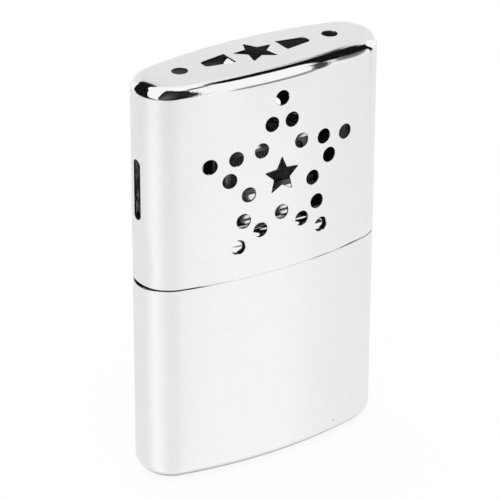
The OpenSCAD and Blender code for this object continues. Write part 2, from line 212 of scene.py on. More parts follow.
def thicken(skin, normals, faces, rims, t, lip):
    """Closes a skin to sheet metal of thickness t. The inner skin is the outer one less t
    times the normal. Each rim is (indices of the skin's edge, the true edge, the normals
    there), walked counter-clockwise round the opening: its lip runs from the skin to the true
    edge at depth lip, down to depth t - lip, and back to the inner skin. Returns points, faces,
    normals, and a number per point: 0 on the outer side and the lips, 1 on the inner side."""
    n = len(skin)
    points, turned, inner = [skin, skin - t * normals], [normals, -normals], [np.zeros(n), np.ones(n)]
    every = [*faces, *[n + f[:, ::-1] for f in faces]]
    total = 2 * n
    for index, edge, up in rims:
        out = unit(edge - skin[index])
        m = len(index)
        rows = [index, total + np.arange(m), total + m + np.arange(m), n + index]
        points += [edge - lip * up, edge - (t - lip) * up]
        turned += [out, out]
        # The lip's deeper row gets 0.5 and the inner skin 1; the plating paints shade by this number.
        inner += [np.zeros(m), np.full(m, 0.5)]
        total += 2 * m
        for a, b in zip(rows[:-1], rows[1:]):
            every.append(np.stack([a, np.roll(a, -1), np.roll(b, -1), b], 1))
    return np.vstack(points), every, np.vstack(turned), np.concatenate(inner)


def net(rows, columns, closed=True):
    """Four-sided faces over a grid of points that lie row after row, and round each row if
    it is closed."""
    i, j = np.meshgrid(np.arange(rows - 1), np.arange(columns - (not closed)), indexing="ij")
    k = (j + 1) % columns
    a, b = i * columns, (i + 1) * columns
    return np.stack([a + j, a + k, b + k, b + j], -1).reshape(-1, 4)


def fan(ring, tip):
    """Triangles from each side of a ring of indices to one point."""
    return np.stack([ring, np.roll(ring, -1), np.full(len(ring), tip)], 1)


def rings(rows):
    """A skin from rows of the same number of points, one (points, normals) pair per row, each
    joined to the next by faces that look outwards where the rows climb."""
    skin, normals = [np.vstack(part) for part in zip(*rows)]
    return skin, normals, net(len(rows), len(rows[0][0]))


def hoop(outline, z, lean=0.0, inset=0.0):
    """One row: an outline less inset times its normal, at height z, whose normal leans up
    from the level by the angle lean. Height and inset are one number or one per point."""
    p, n = outline
    ones = np.ones(len(p))
    full = np.hstack([math.cos(lean) * n, math.sin(lean) * ones[:, None]])
    return np.hstack([p - (inset * ones)[:, None] * n, (z * ones)[:, None]]), full


def bend(outline, inset, z, r, a, b, steps=5, hollow=False):
    """Rows round a bend of radius r in a profile: the normal's lean runs from a to b, and the
    surface lies r outside the bend's centre (inset, z), or r on its near side if hollow."""
    sign = -1 if hollow else 1
    return [hoop(outline, z + sign * r * math.sin(t), t, inset - sign * r * math.cos(t))
            for t in np.linspace(a, b, steps)]


def level(skin, normals, faces, last, holes, step, up=1.0):
    """Closes a skin's last row with a level sheet that faces up (1) or down (-1) and is
    pierced by holes. Also returns the indices of each hole's edge."""
    m = len(last)
    flat, triangles = fill(skin[last, :2], holes, (step, step))
    index = np.concatenate([last, len(skin) + np.arange(len(flat) - m)])
    skin = np.vstack([skin, np.hstack([flat[m:], np.full((len(flat) - m, 1), skin[last[0], 2])])])
    normals = np.vstack([normals, np.tile((0, 0, up), (len(flat) - m, 1))])
    stops = m + np.cumsum([len(h) for h in holes], dtype=int)
    edges = np.split(index[m:stops[-1]], stops[:-1] - m) if holes else []
    return skin, normals, [*faces, index[triangles][:, ::int(up)]], edges


def low_rim(row):
    """The rim at a skin's first row, for thicken; row is the true edge with its normals."""
    return tuple(part[::-1] for part in (np.arange(len(row[0])), *row))


def high_rim(rows, row):
    """The rim at a skin's last row."""
    m = len(row[0])
    return np.arange(m) + (len(rows) - 1) * m, *row


def hole_rims(start, outlines, place):
    """Rims of outlines whose points follow one another in a skin from the index start on."""
    rims = []
    for p, _ in outlines:
        rims.append((start + np.arange(len(p)), *place(p[:, 0], p[:, 1])))
        start += len(p)
    return rims


def cut_sheet(place, edge, holes, step, t, lip=0.06):
    """A piece cut from flat sheet and bent: edge and holes are outlines in the flat, and
    place(u, v) gives the bent sheet's outer point and normal."""
    edge, *holes = [divided(outline, min(step)) for outline in (edge, *holes)]
    flat, triangles = fill(edge[0] - lip * edge[1], [p + lip * n for p, n in holes], step)
    rims = hole_rims(0, [edge, *holes], place)
    rims[0] = tuple(part[::-1] for part in rims[0])
    return thicken(*place(flat[:, 0], flat[:, 1]), [triangles], rims, t, lip)


def joined(*parts):
    """Several meshes, each with its points, faces and normals, as one."""
    starts = np.cumsum([0] + [len(part[0]) for part in parts])
    faces = [start + f for start, part in zip(starts, parts) for f in part[1]]
    return np.vstack([part[0] for part in parts]), faces, np.vstack([part[2] for part in parts])


# ------------------------------------------------------------------ meshes and pieces
def mesh_of(name, points, faces, normals=None, **fields):
    """Puts points in millimetres and arrays of faces in a mesh, with a normal for each point
    and a named number per point for each extra field."""
    mesh = bpy.data.meshes.new(name)
    corners = np.concatenate([f.ravel() for f in faces])
    sizes = np.concatenate([np.full(len(f), f.shape[1]) for f in faces])
    mesh.vertices.add(len(points))
    mesh.vertices.foreach_set("co", (np.asarray(points) * MM).ravel())
    mesh.loops.add(len(corners))
    mesh.loops.foreach_set("vertex_index", corners.astype(np.int32))
    mesh.polygons.add(len(sizes))
    mesh.polygons.foreach_set("loop_start", (np.cumsum(sizes) - sizes).astype(np.int32))
    mesh.update(calc_edges=True)
    mesh.polygons.foreach_set("use_smooth", np.ones(len(sizes), bool))
    for field, values in fields.items():
        data = mesh.attributes.new(field, "FLOAT", "POINT").data
        data.foreach_set("value", np.asarray(values, np.float32))
    if normals is not None:
        mesh.normals_split_custom_set_from_vertices(normals.tolist())
    return mesh


def placed(name, data):
    """A new object in the scene."""
    made = bpy.data.objects.new(name, data)
    bpy.context.scene.collection.objects.link(made)
    return made


def piece(name, body, slot, material, stands_for, points, faces, normals=None, inner=None, polish=None):
    """A finished piece at the origin, riding on its body and standing for its CAD node."""
    fields = {key: values for key, values in (("inner", inner), ("polish", polish)) if values is not None}
    obj = placed(name, mesh_of(name, points, faces, normals, **fields))
    obj.data.materials.append(material)
    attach(obj, body)
    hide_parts(*stands_for)
    return obj


# ------------------------------------------------------------------ shader effects
def group(name, outputs, kind="Float", **inputs):
    """An empty shader group: a Vector input, further ones with a number or a colour each, and
    outputs of one kind. Returns the tree, the inputs' sockets and the output node."""
    tree = bpy.data.node_groups.new(name, "ShaderNodeTree")
    tree.interface.new_socket("Vector", in_out="INPUT", socket_type="NodeSocketVector")
    for label, value in inputs.items():
        sort = "NodeSocketColor" if isinstance(value, tuple) else "NodeSocketFloat"
        tree.interface.new_socket(label, in_out="INPUT", socket_type=sort).default_value = value
    for label in outputs:
        tree.interface.new_socket(label, in_out="OUTPUT", socket_type="NodeSocket" + kind)
    return tree, tree.nodes.new("NodeGroupInput").outputs, tree.nodes.new("NodeGroupOutput")


def feed(tree, made, **values):
    """Gives inputs of a node their values: sockets are joined, anything else is set. An input
    goes by its label, or by _ and its number."""
    for key, value in values.items():
        socket = made.inputs[int(key[1:]) if key[0] == "_" else key.replace("_", " ")]
        if isinstance(value, bpy.types.NodeSocket):
            tree.links.new(value, socket)
        else:
            socket.default_value = value
    return made


def node(tree, kind, sets=None, **values):
    """Adds a node with its properties in sets and its inputs in values."""
    made = tree.nodes.new("ShaderNode" + kind)
    for key, value in (sets or {}).items():
        setattr(made, key, value)
    return feed(tree, made, **values)


def ranged(tree, value, a, b, c, d):
    """The value carried from the range a to b over to c to d, and held at its ends."""
    return node(tree, "MapRange", _0=value, _1=a, _2=b, _3=c, _4=d).outputs[0]


def maths(tree, operation, *values):
    """One step of arithmetic."""
    return node(tree, "Math", {"operation": operation}, **{f"_{k}": v for k, v in enumerate(values)}).outputs[0]


def noise(tree, where, scale, detail, roughness=0.5):
    """Smooth noise round 0.5."""
    made = node(tree, "TexNoise", Vector=where, Scale=scale, Detail=detail, Roughness=roughness)
    return made.outputs["Fac"]


def multiplied(tree, share, a, b):
    """Colour a, multiplied by b to the share given."""
    return node(tree, "Mix", {"data_type": "RGBA", "blend_type": "MULTIPLY"}, _0=share, _6=a, _7=b).outputs[2]


def bumped(tree, shader, strength, distance, height):
    """Joins a bump to a shader: a height of 1 stands for the distance in metres."""
    bump = node(tree, "Bump", Strength=strength, Distance=distance, Height=height)
    feed(tree, shader, Normal=bump.outputs[0])


def effect(tree, group_tree, **values):
    """The outputs of a shader group placed in a material."""
    return node(tree, "Group", {"node_tree": group_tree}, **values).outputs


def sheet_grain():
    """Rolled and polished sheet: long fine hairs along the height, and a soft cloudiness."""
    tree, inp, out = group("sheet_grain", ["Hairs", "Cloud"], Fineness=900.0, Stretch=0.04)
    one = node(tree, "CombineXYZ", _0=1.0, _1=1.0, _2=inp["Stretch"]).outputs[0]
    long = node(tree, "VectorMath", {"operation": "MULTIPLY"}, _0=inp["Vector"], _1=one).outputs[0]
    feed(tree, out, Hairs=noise(tree, long, inp["Fineness"], 3.0, 0.6),
         Cloud=noise(tree, inp["Vector"], 70.0, 4.0, 0.55))
    return tree


def handling_marks():
    """Hairline scratches at all angles, and a few tiny pits, as masks from 0 to 1."""
    tree, inp, out = group("handling_marks", ["Scratches", "Pits"], Amount=0.5)
    where, masks = inp["Vector"], []
    for turn, scale in ((0.4, 160.0), (1.9, 230.0)):
        spun = node(tree, "Mapping", Rotation=(turn, turn * 0.7, turn * 1.3), Scale=(1.0, 14.0, 14.0), Vector=where)
        cells = node(tree, "TexVoronoi", {"feature": "DISTANCE_TO_EDGE"}, Scale=scale * 0.35, Vector=spun.outputs[0])
        masks.append(ranged(tree, cells.outputs["Distance"], 0.0, 0.02, 1.0, 0.0))
    here = ranged(tree, noise(tree, where, 240.0, 2.0), 0.54, 0.64, 0.0, 1.0)
    kept = maths(tree, "MULTIPLY", maths(tree, "MAXIMUM", *masks), here)
    dots = node(tree, "TexVoronoi", Scale=300.0, Vector=where).outputs["Distance"]
    few = ranged(tree, noise(tree, where, 90.0, 1.0), 0.62, 0.68, 0.0, 1.0)
    feed(tree, out, Scratches=maths(tree, "MULTIPLY", kept, inp["Amount"]),
         Pits=maths(tree, "MULTIPLY", ranged(tree, dots, 0.05, 0.13, 1.0, 0.0), few))
    return tree


def heat_tint():
    """Straw and blue tints that heat leaves on steel, stronger towards a height."""
    tree, inp, out = group("heat_tint", ["Color"], "Color", Low=0.07, High=0.09, Base=(0.5, 0.5, 0.5, 1.0))
    height = node(tree, "SeparateXYZ", _0=inp["Vector"]).outputs[2]
    wave = maths(tree, "MULTIPLY_ADD", noise(tree, inp["Vector"], 120.0, 3.0), 0.004, height)
    ramp = node(tree, "ValToRGB", _0=ranged(tree, wave, inp["Low"], inp["High"], 0.0, 1.0))
    stops = ramp.color_ramp.elements
    stops[0].color, stops[1].color = (1.0, 1.0, 1.0, 1.0), (0.78, 0.80, 0.92, 1.0)
    stops.new(0.6).color = (1.0, 0.93, 0.78, 1.0)
    feed(tree, out, Color=multiplied(tree, 0.5, inp["Base"], ramp.outputs["Color"]))
    return tree


def fibre_tangle():
    """Crossing fibres: three noises stretched along different directions, the brightest one
    on top."""
    tree, inp, out = group("fibre_tangle", ["Height"], Scale=1200.0)
    top = None
    for turn in ((0.3, 0.9, 0.2), (1.4, 0.2, 1.1), (0.8, 2.1, 0.6)):
        spun = node(tree, "Mapping", Rotation=turn, Scale=(1.0, 1.0, 0.09), Vector=inp["Vector"])
        peak = ranged(tree, noise(tree, spun.outputs[0], inp["Scale"], 2.0), 0.4, 0.7, 0.0, 1.0)
        top = maths(tree, "MAXIMUM", top, peak) if top else peak
    feed(tree, out, Height=top)
    return tree


GRAIN, MARKS, TINT, TANGLE = sheet_grain(), handling_marks(), heat_tint(), fibre_tangle()


def material(name, **fixed):
    """A material with one Principled shader, its fixed sockets set, and Object coordinates."""
    made = bpy.data.materials.new(name)
    made.use_nodes = True
    tree = made.node_tree
    shader = feed(tree, tree.nodes["Principled BSDF"], **fixed)
    return made, tree, shader, node(tree, "TexCoord").outputs["Object"]


def plating(name, colour, satin, mirror, grain, marks):
    """Plated sheet. Roughness runs from satin to mirror where the polish field is 1, with
    cloudiness and hairs on top; scratches and pits show in the bump and darken a little.
    Where the inner field is 1 the colour is painted down to 0.3 as painted shade, so the
    inside of the sheet looks dark; there it is also a little smoother."""
    made, tree, shader, where = material(name, Metallic=1.0)
    hairs, cloud = effect(tree, GRAIN, Fineness=1500.0, Vector=where)
    scratch, pits = effect(tree, MARKS, Amount=marks, Vector=where)
    polish, within = [node(tree, "Attribute", {"attribute_name": field}).outputs["Fac"]
                      for field in ("polish", "inner")]
    soft = maths(tree, "MULTIPLY_ADD", ranged(tree, cloud, 0.35, 0.65, -0.025, 0.03),
                 ranged(tree, polish, 0.0, 1.0, 1.0, 0.25), ranged(tree, polish, 0.0, 1.0, satin, mirror))
    sunk = maths(tree, "MULTIPLY_ADD", scratch, 0.12, soft)
    # Painted shade: the colour falls to 0.3 on the inner side; the cloud's slight spread is the plating's own tone.
    tone = maths(tree, "MULTIPLY", ranged(tree, cloud, 0.3, 0.7, 0.985, 1.0),
                 ranged(tree, within, 0.0, 1.0, 1.0, 0.3))
    pits_and_painted_inner_shade = maths(tree, "MULTIPLY_ADD", pits, -0.35, tone)
    feed(tree, shader, Roughness=maths(tree, "MULTIPLY_ADD", within, -0.1, sunk),
         Base_Color=multiplied(tree, 1.0, (*colour, 1.0), pits_and_painted_inner_shade))
    rise = maths(tree, "MULTIPLY_ADD", scratch, -0.6, hairs)
    bumped(tree, shader, grain, 0.00002, maths(tree, "MULTIPLY_ADD", pits, -1.5, rise))
    return made


def burner_steel(name, colour, rough, low, high):
    """Bare steel of the burner, satin, with heat tints that grow between two heights."""
    made, tree, shader, where = material(name, Metallic=1.0)
    hairs, cloud = effect(tree, GRAIN, Fineness=2200.0, Stretch=0.2, Vector=where)
    feed(tree, shader, Base_Color=effect(tree, TINT, Low=low, High=high, Base=(*colour, 1.0), Vector=where)[0],
         Roughness=ranged(tree, cloud, 0.3, 0.7, rough - 0.05, rough + 0.08))
    bumped(tree, shader, 0.35, 0.00002, hairs)
    return made


def fibrous(name, light, dark, scale, strength, sheen):
    """Matted fibres: the tangle sets both the colour and the bump."""
    made, tree, shader, where = material(name, Roughness=0.95, Sheen_Weight=sheen, Sheen_Roughness=0.5)
    height = effect(tree, TANGLE, Scale=scale, Vector=where)[0]
    ramp = node(tree, "ValToRGB", _0=height)
    for stop, colour in zip(ramp.color_ramp.elements, (dark, light)):
        stop.color = (*colour, 1.0)
    feed(tree, shader, Base_Color=ramp.outputs["Color"])
    bumped(tree, shader, strength, 0.0001, height)
    return made


CASE = plating("case_plating", (0.93, 0.93, 0.93), 0.26, 0.03, 0.25, 0.5)
COLLAR = plating("collar_plating", (0.92, 0.92, 0.92), 0.06, 0.03, 0.1, 0.6)
RIMS = burner_steel("burner_rims", (0.88, 0.88, 0.88), 0.10, 0.080, 0.090)
# Painted shade: the shells' steel is darkened to 0.20, against 0.88 for the rims, so that the burner's middle deep
# in the cap looks dim.
SHADE_PAINTED_SHELLS = burner_steel("burner_sheet", (0.20, 0.20, 0.205), 0.30, 0.070, 0.088)
WIRE = burner_steel("screen_wire", (0.42, 0.42, 0.43), 0.42, 0.072, 0.086)
COTTON = fibrous("cotton", (0.90, 0.88, 0.83), (0.74, 0.71, 0.64), 900.0, 0.7, 0.3)
GAUZE = fibrous("gauze", (0.86, 0.84, 0.80), (0.68, 0.66, 0.60), 1500.0, 0.5, 0.2)
FIBRE = fibrous("catalyst_fibre", (0.16, 0.16, 0.17), (0.03, 0.03, 0.033), 1600.0, 0.9, 0.1)

# ------------------------------------------------------------------ the cap
OVAL = oval_plan()
PLAN, ROUND = ruler(OVAL)
END_RUN, BOW_RUN = END_R * (math.pi - 2 * BOW_TURN), BOW_R * 2 * BOW_TURN
MIDDLES = np.array([0.5 * END_RUN, END_RUN + 0.5 * BOW_RUN])
MIDDLES = np.append(MIDDLES, MIDDLES + END_RUN + BOW_RUN)     # right end, back, left end, front


def oval_columns(count=44):
    """Distances round the plan of the mesh's columns, evenly spaced on each arc."""
    runs = [END_RUN, BOW_RUN] * 2
    starts = np.append(0, np.cumsum(runs))[:4]
    return np.concatenate([start + np.linspace(0, run, count, endpoint=False) for start, run in zip(starts, runs)])


SPACING = oval_columns()
COLUMNS, M = PLAN(SPACING), len(SPACING)
# How far each column is from the middle of the left end along the plan, either way round
FROM_LEFT = np.abs(np.mod(SPACING - MIDDLES[2] + ROUND / 2, ROUND) - ROUND / 2)


def grip_dent(s, z):
    """Depth of the pressed grips. In each end an ellipse standing on the mouth is pressed in:
    depth = deepest (1 - rho^3), where rho is 1 on the ellipse, with the fold at its edge eased."""
    deep = 0.0
    for middle in MIDDLES[[0, 2]]:
        y = END_R * np.sin(np.clip((s - middle) / END_R, -1.5, 1.5))
        fall = 1 - np.sqrt((y / GRIP_W) ** 2 + ((z - GRIP_Z) / GRIP_H) ** 2) ** 3
        deep = deep + GRIP_DEEP / 2 * (fall + np.sqrt(fall ** 2 + 0.006) - 0.002)
    return deep


def cap_wall(s, z):
    """The cap's wall at the distance s round it and the height z: the plan less the grips'
    depth. The normal leans by the slope of that depth, from differences over 0.1 mm."""
    deep = grip_dent(s, z)
    p, n = PLAN(s, deep)
    along = np.stack([-n[:, 1], n[:, 0]], 1)
    slope_s = (grip_dent(s + 0.05, z) - grip_dent(s - 0.05, z)) / 0.1
    slope_z = (grip_dent(s, z + 0.05) - grip_dent(s, z - 0.05)) / 0.1
    normal = np.hstack([n + slope_s[:, None] * along, slope_z[:, None]])
    return np.hstack([p, z[:, None]]), unit(normal)


def cap_plate(x, y):
    """The crowned top: height = top - crown (1 - (Y^2 - y^2) / Y0^2), where Y is the plate's
    half width at x and Y0 the one at the middle, so that it meets the rounded edge in line."""
    inset = TOP_R * (1 - math.cos(TOP_TURN))
    bow, end = BOW_R - inset, END_R - inset
    in_end = np.abs(x) > END_X + end * math.sin(BOW_TURN)
    past = np.abs(x) - END_X
    root = np.sqrt(bow ** 2 - x ** 2)
    half = np.where(in_end, np.sqrt(np.maximum(end ** 2 - past ** 2, 0)), root - BOW_Y)
    middle = bow - BOW_Y
    z = BODY_H - CROWN + CROWN * (half ** 2 - y ** 2) / middle ** 2
    slope_x = CROWN * np.where(in_end, -2 * past * np.sign(x), -2 * half * x / root) / middle ** 2
    slope_y = -2 * CROWN * y / middle ** 2
    return np.stack([x, y, z], 1), unit(np.stack([-slope_x, -slope_y, np.ones_like(x)], 1))


def star_vents():
    """Holes of one face, seen from outside: round holes on a star's points, its inner corners
    and half way between, and a cut-out star in the middle."""
    i = np.arange(10)
    reach = np.where(i % 2 == 0, STAR_R, STAR_INNER_R)
    corner = np.stack([reach * np.sin(i * math.pi / 5), reach * np.cos(i * math.pi / 5)], 1)
    centres = np.vstack([corner, (corner + np.roll(corner, -1, 0)) / 2])
    ring, star = slot_outline(2 * HOLE_R, 2 * HOLE_R), star_outline(MIDDLE_STAR_R)
    return [moved(ring, x, STAR_Z + z) for x, z in centres] + [moved(star, 0, STAR_Z)]


def wrapped(outline, middle, r):
    """An outline cut straight through the wall, laid out along it: s = middle + r times the
    angle whose sine is x / r."""
    p, n = outline
    return np.stack([middle + r * np.arcsin(p[:, 0] / r), p[:, 1]], 1), n


def cap_holes():
    """Every hole of the wall, laid out: the star vents front and back and the end slots."""
    slot = moved(slot_outline(*END_SLOT), 0, STAR_Z)
    holes = [wrapped(slot, MIDDLES[k], END_R) for k in (0, 2)]
    return holes + [wrapped(h, MIDDLES[k], BOW_R) for k in (1, 3) for h in star_vents()]


def top_vents():
    """Holes of the top plate: a star, a round hole near each end and two wedges between."""
    ring = slot_outline(2 * TOP_HOLE_R, 2 * TOP_HOLE_R)
    vents = [star_outline(TOP_STAR_R)] + [moved(ring, x, 0) for x in (-TOP_HOLE_X, TOP_HOLE_X)]
    wedge = np.array([(7.2, -2.8), (14.6, -1.45), (14.6, 1.45), (7.2, 2.8)])
    return vents + [rounded(sign * wedge, [0.15, 0.9, 0.9, 0.15], 5) for sign in (1, -1)]


def polished(built, shine):
    """Adds the polish: shine per point of the skin on both of its sides, and 1 on the lips."""
    polish = np.ones(len(built[0]))
    polish[:2 * len(shine)] = np.tile(shine, 2)
    return *built, polish


def used_only(points, faces, *fields):
    """Drops the points that no face uses, here the doubled side of the flat layout."""
    used = np.zeros(len(points), bool)
    for f in faces:
        used[f.ravel()] = True
    new = np.cumsum(used) - 1
    return points[used], [new[f] for f in faces], *[field[used] for field in fields]


def build_cap(lip=0.07, up=34):
    """The cap as one sheet: the wall laid out flat from the mouth to the top edge, with up
    points on each side, and joined where it closes; rows round the top edge; and the pierced
    plate on the last of them."""
    low, high = MOUTH_Z + lip, BODY_H - CROWN - TOP_R * math.sin(TOP_TURN)
    side = np.linspace(low, high, up + 2)[1:-1]
    whole = np.append(SPACING, ROUND)
    edge = np.stack([np.concatenate([whole, np.full(up, ROUND), whole[::-1], np.zeros(up)]),
                     np.concatenate([np.full(M + 1, low), side, np.full(M + 1, high), side[::-1]])], 1)
    holes = cap_holes()
    flat, triangles = fill(edge, [p + lip * n for p, n in holes], (1.25, 1.25))
    # The right side of the layout is the left side again: both become the left side's points
    corner = M + 1 + up
    same = np.arange(len(flat))
    same[M] = 0
    same[M + 1:corner] = len(edge) - 1 - np.arange(up)
    same[corner] = corner + M
    wall, wall_n = cap_wall(flat[:, 0], flat[:, 1])
    rims = [low_rim(cap_wall(SPACING, np.full(M, MOUTH_Z)))] + hole_rims(len(edge), holes, cap_wall)

    top = np.append(corner + M, corner + np.arange(M - 1, 0, -1))
    turns = np.linspace(0, TOP_TURN, 12)[1:]
    rows = bend(COLUMNS, TOP_R, high, TOP_R, 0, TOP_TURN, 12)[1:]
    ring, ring_n, ring_faces = rings([(wall[top], wall_n[top]), *rows])
    ring_index = np.concatenate([top, len(wall) + np.arange(M * len(turns))])
    vents = top_vents()
    plate, plate_faces = fill(rows[-1][0][:, :2], [p + lip * n for p, n in vents], (1.25, 1.25))
    plate_p, plate_n = cap_plate(plate[M:, 0], plate[M:, 1])
    base = len(wall) + M * (len(turns) - 1)
    rims += hole_rims(base + M, vents, cap_plate)

    built = thicken(np.vstack([wall, ring[M:], plate_p]), np.vstack([wall_n, ring_n[M:], plate_n]),
                    [same[triangles], ring_index[ring_faces], base + plate_faces], rims, SHEET, lip)
    bright = np.sin(np.pi * (turns / TOP_TURN)) ** 0.4
    return used_only(*polished(built, np.concatenate([np.zeros(len(wall)), np.repeat(bright, M),
                                                      np.zeros(len(plate_p))])))


piece("cap", "cap", "case_plating", CASE, ["cap_shell"], *build_cap())


# ------------------------------------------------------------------ tank, collar and neck
def build_case(lip=0.07):
    """The lower case: the rounded base edge, rows up the wall, the rim, which drops a little
    at the left end, and the flat base."""
    rim = RIM_Z - np.interp(FROM_LEFT, [3, 8], [0.35, 0])
    foot = [hoop(COLUMNS, BASE_UP * (1 - math.sin(t)),
                 -math.atan2(math.sin(t) / BASE_UP, math.cos(t) / BASE_IN), BASE_IN * (1 - math.cos(t)))
            for t in np.linspace(math.pi / 2, 0, 16)[:-1]]
    rows = foot + [hoop(COLUMNS, z) for z in np.linspace(BASE_UP, RIM_Z - 2, 10)] + [hoop(COLUMNS, rim - lip)]
    skin, normals, faces = rings(rows)
    skin, normals, faces, _ = level(skin, normals, [faces], np.arange(M), [], 2.5, -1.0)
    shine = np.zeros(len(skin))
    shine[:len(foot) * M] = np.repeat(np.linspace(0.9, 0.0, len(foot)), M)
    return polished(thicken(skin, normals, faces, [high_rim(rows, hoop(COLUMNS, rim))], SHEET, lip), shine)


piece("tank_case_dressed", "tank", "case_plating", CASE, ["tank_case"], *build_case())


def build_collar(lip=0.07):
    """The collar: a skirt inside the case, a bead in the seam below the cap's mouth, the
    wall, a rounded shoulder and the deck with the neck's hole."""
    rows = [hoop(COLUMNS, z, 0, SKIRT_IN) for z in (SKIRT_Z + lip, 48.5, 52.05)]
    # The bead fills the seam in front, half fills it at the right end and leaves it open at
    # the left end, where the cap's grip stands off the case
    bead = 0.9 - 0.75 * np.interp(FROM_LEFT, [12, 26, 56, 66], [0, 1, 1, 0.6])
    inner = np.maximum(bead, 0.56)
    rows += [hoop(COLUMNS, z, lean, inset) for z, lean, inset in
             ((52.7, 0, inner), (53.1, 0.5, inner), (53.14, 0, bead), (53.34, 0, bead), (53.39, 1.0, inner),
              (53.46, 0.5, 0.9), (55.0, 0, 0.9), (58.0, 0, 0.9))]
    rows += bend(COLUMNS, 0.9 + SHOULDER_R, DECK_Z - SHOULDER_R, SHOULDER_R, 0, math.pi / 2, 14)
    skin, normals, faces = rings(rows)
    hole = box_outline(26.1, 8.1, 3.75, 8)
    last = np.arange(M) + (len(rows) - 1) * M
    skin, normals, faces, edges = level(skin, normals, [faces], last, [hole[0] + lip * hole[1]], 1.6)
    rims = [low_rim(hoop(COLUMNS, SKIRT_Z, 0, SKIRT_IN)), (edges[0], *hoop(hole, DECK_Z, math.pi / 2))]
    return thicken(skin, normals, faces, rims, SHEET, lip)


def build_neck(lip=0.1, flange=2.0):
    """The neck: its flange under the deck, a tight bend and the oval tube with a bright lip."""
    outer = box_outline(26.0, 8.0, 3.7, 8)
    z = DECK_Z - SHEET
    rows = [hoop(outer, z, math.pi / 2, lip - flange)]
    rows += bend(outer, -0.35, z + 0.35, 0.35, math.pi / 2, 0, 5, hollow=True)
    rows += [hoop(outer, h) for h in (66.0, 67.5, NECK_Z - lip)]
    skin, normals, faces = rings(rows)
    rims = [low_rim(hoop(outer, z, math.pi / 2, -flange)), high_rim(rows, hoop(outer, NECK_Z))]
    return thicken(skin, normals, [faces], rims, SHEET, lip)


for name, node_name, built, shine in (("collar", "tank_collar", build_collar(), 0.6),
                                      ("neck", "filler_neck", build_neck(), 0.4)):
    piece(name, "tank", "collar_plating", COLLAR, [node_name], *built, np.full(len(built[0]), shine))


# ------------------------------------------------------------------ the burner
BURNER_RIM = box_outline(29.0, 11.4, 3.5, 8)


def build_socket(lip=0.06):
    """The socket: a skirt over the neck, the underside of its ledge, and the rim."""
    skirt = box_outline(27.4, 9.4, 4.4, 8)
    rows = [hoop(skirt, z) for z in (SOCKET_Z + lip, 66.6, 68.2)]
    rows += bend(skirt, -0.3, LEDGE_Z - 0.3, 0.3, 0, -math.pi / 2, 5, hollow=True)
    rows += bend(BURNER_RIM, 0.5, LEDGE_Z + 0.5, 0.5, -math.pi / 2, 0, 6)
    rows += [hoop(BURNER_RIM, z) for z in (70.9, SOCKET_TOP - lip)]
    skin, normals, faces = rings(rows)
    rims = [low_rim(hoop(skirt, SOCKET_Z)), high_rim(rows, hoop(BURNER_RIM, SOCKET_TOP))]
    return thicken(skin, normals, [faces], rims, BURNER_SHEET, lip)


def build_lid(lip=0.06):
    """The lid: a rim over the shells, a bend, and the plate with its row of slots."""
    m, top = len(BURNER_RIM[0]), LID_Z + BURNER_SHEET
    rows = [hoop(BURNER_RIM, z) for z in (LID_RIM_Z + lip, 83.8)]
    rows += bend(BURNER_RIM, 0.5, top - 0.5, 0.5, 0, math.pi / 2, 7)
    skin, normals, faces = rings(rows)
    slots = [moved(slot_outline(1.4, 5.8, 6), x, 0) for x in 3.6 * np.arange(-3, 4)]
    last = np.arange(m) + (len(rows) - 1) * m
    skin, normals, faces, edges = level(skin, normals, [faces], last, [p + lip * n for p, n in slots], 1.2)
    rims = [low_rim(hoop(BURNER_RIM, LID_RIM_Z))]
    rims += [(index, *hoop(slot, top, math.pi / 2)) for index, slot in zip(edges, slots)]
    return thicken(skin, normals, faces, rims, BURNER_SHEET, lip)


for name, built in (("socket", build_socket()), ("lid", build_lid())):
    piece(name, "burner", "burner_rims", RIMS, ["burner_" + name], *built[:3])


def bent_sheet(path, side):
    """place(u, v) for a strip whose plan follows an open path, v being the height; side is 1,
    or -1 for the same piece turned half round. Also returns the path's length."""
    at, length = ruler(path, closed=False)

    def place(u, v):
        p, n = at(u)
        return np.hstack([side * p, v[:, None]]), np.hstack([side * n, np.zeros((len(n), 1))])
    return place, length


HALF_PATH = rounded([(-15.3, -0.45), (-14.0, -0.45), (-14.0, -5.2), (14.0, -5.2), (14.0, -0.45), (15.3, -0.45)],
                    [0, 0.4, SHELL_CORNER, SHELL_CORNER, 0.4, 0], 8, closed=False)
CLIP_PATH = rounded([(14.3, -0.8), (15.65, -0.8), (15.65, 0.8), (14.3, 0.8)], [0, 0.4, 0.4, 0], 6, closed=False)


def build_shell(side, tab=1.75, notch=1.5):
    """One shell: its flanges are notched at both ends, and the window is cut in its middle."""
    place, length = bent_sheet(HALF_PATH, side)
    low, high, end = SHELL_Z, SHELL_Z + SHELL_H, length - tab
    edge = rounded([(0, low + notch), (tab, low + notch), (tab, low), (end, low), (end, low + notch),
                    (length, low + notch), (length, high - notch), (end, high - notch), (end, high),
                    (tab, high), (tab, high - notch), (0, high - notch)], 0.25, 3)
    window = moved(box_outline(20.4, 9.2, 1.2), length / 2, SHELL_Z + SHELL_H / 2)
    return cut_sheet(place, edge, [window], (0.5, 1.2), BURNER_SHEET)


def build_clip(side):
    """One folded strip that clips the shells' flanges at an end."""
    place, length = bent_sheet(CLIP_PATH, side)
    strip = moved(box_outline(length, 10.1, 0.25, 3), length / 2, 77.55)
    return cut_sheet(place, strip, [], (0.2, 1.5), 0.35)


for name, side in (("front_shell", 1), ("back_shell", -1)):
    piece(name, "burner", "burner_sheet", SHADE_PAINTED_SHELLS, ["burner_" + name], *build_shell(side)[:3])
piece("end_clips", "burner", "burner_rims", RIMS, ["burner_end_clips"], *joined(build_clip(1), build_clip(-1)))


